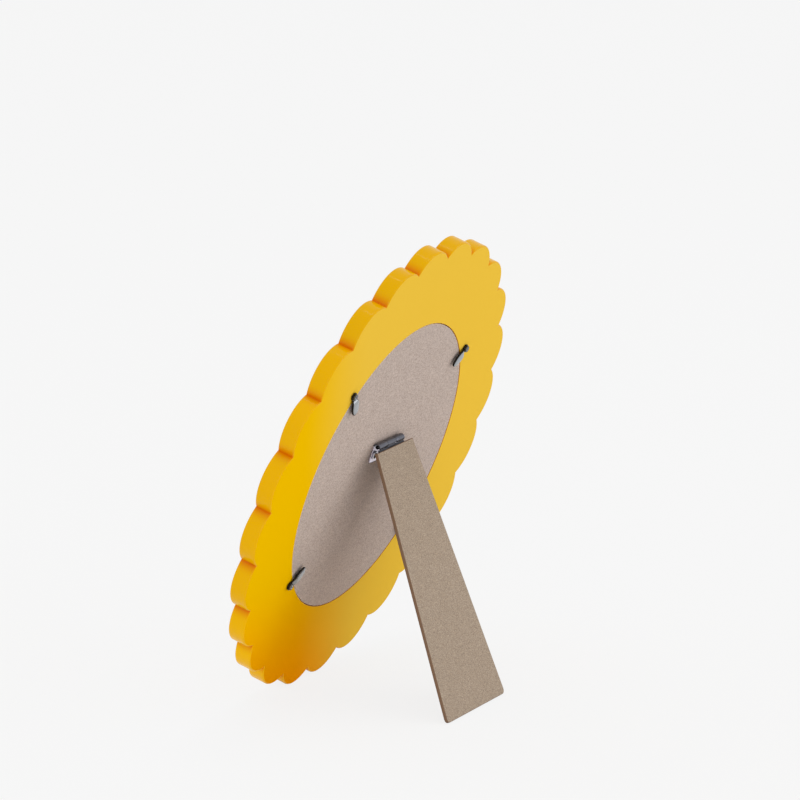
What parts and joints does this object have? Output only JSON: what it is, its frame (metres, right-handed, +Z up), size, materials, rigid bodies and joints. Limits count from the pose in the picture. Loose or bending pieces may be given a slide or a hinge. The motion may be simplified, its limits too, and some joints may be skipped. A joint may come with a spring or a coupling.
{
  "type": "picture frame",
  "caption": "Round scalloped tabletop picture frame with a rebated opening, glazing, a backing board held by turn buttons, and a hinged easel leg that folds flat.",
  "frame": {"origin": "Middle of the base of the bounding box, on the surface that the frame stands on.", "axes": "+X to the frame's left as seen from behind, +Y out of its back towards the leg's foot, +Z up. The picture's plane leans back by 16.7 degrees."},
  "size_m": [0.2502, 0.108, 0.2418],
  "materials": {
    "yellow_lacquer": "glossy warm yellow lacquer over fine board",
    "backing_fibreboard": "matt taupe fibreboard with a fine speckle",
    "leg_fibreboard": "matt taupe fibreboard with brown cut edges",
    "card": "plain smooth card",
    "clear_glazing": "clear",
    "plated_steel": "satin zinc plate",
    "dark_steel": "polished dark nickel plate"
  },
  "bodies": {
    "frame": {"frame_body": "yellow_lacquer", "glazing": "clear_glazing", "picture_card": "card", "backing_board": "backing_fibreboard", "hinge_fixed_leaf": "plated_steel", "hinge_pin": "dark_steel", "hinge_eyelet_left": "plated_steel", "hinge_eyelet_right": "plated_steel", "button_screw_upper_right": "dark_steel", "button_screw_upper_left": "dark_steel", "button_screw_lower_left": "dark_steel", "button_screw_lower_right": "dark_steel"},
    "leg": {"easel_leg": "leg_fibreboard", "hinge_moving_leaf": "plated_steel", "leg_rivet_left": "plated_steel", "leg_rivet_right": "plated_steel"},
    "button_upper_right": {"turn_button_upper_right": "dark_steel"},
    "button_upper_left": {"turn_button_upper_left": "dark_steel"},
    "button_lower_left": {"turn_button_lower_left": "dark_steel"},
    "button_lower_right": {"turn_button_lower_right": "dark_steel"}
  },
  "joints": [
    {"name": "leg_fold", "type": "hinge", "parent": "frame", "child": "leg", "pos_m": [0, -0.0035, 0.13279], "axis": [-1, 0, 0], "range_deg": [0, 39.1]},
    {"name": "upper_right_swivel", "type": "hinge", "parent": "frame", "child": "button_upper_right", "pos_m": [-0.06473, 0.00604, 0.1716], "axis": [0, 0.958, -0.2868], "continuous": true},
    {"name": "upper_left_swivel", "type": "hinge", "parent": "frame", "child": "button_upper_left", "pos_m": [0.06473, 0.00604, 0.1716], "axis": [0, 0.958, -0.2868], "continuous": true},
    {"name": "lower_left_swivel", "type": "hinge", "parent": "frame", "child": "button_lower_left", "pos_m": [0.06473, -0.02512, 0.06753], "axis": [0, 0.958, -0.2868], "continuous": true},
    {"name": "lower_right_swivel", "type": "hinge", "parent": "frame", "child": "button_lower_right", "pos_m": [-0.06473, -0.02512, 0.06753], "axis": [0, 0.958, -0.2868], "continuous": true}
  ]
}
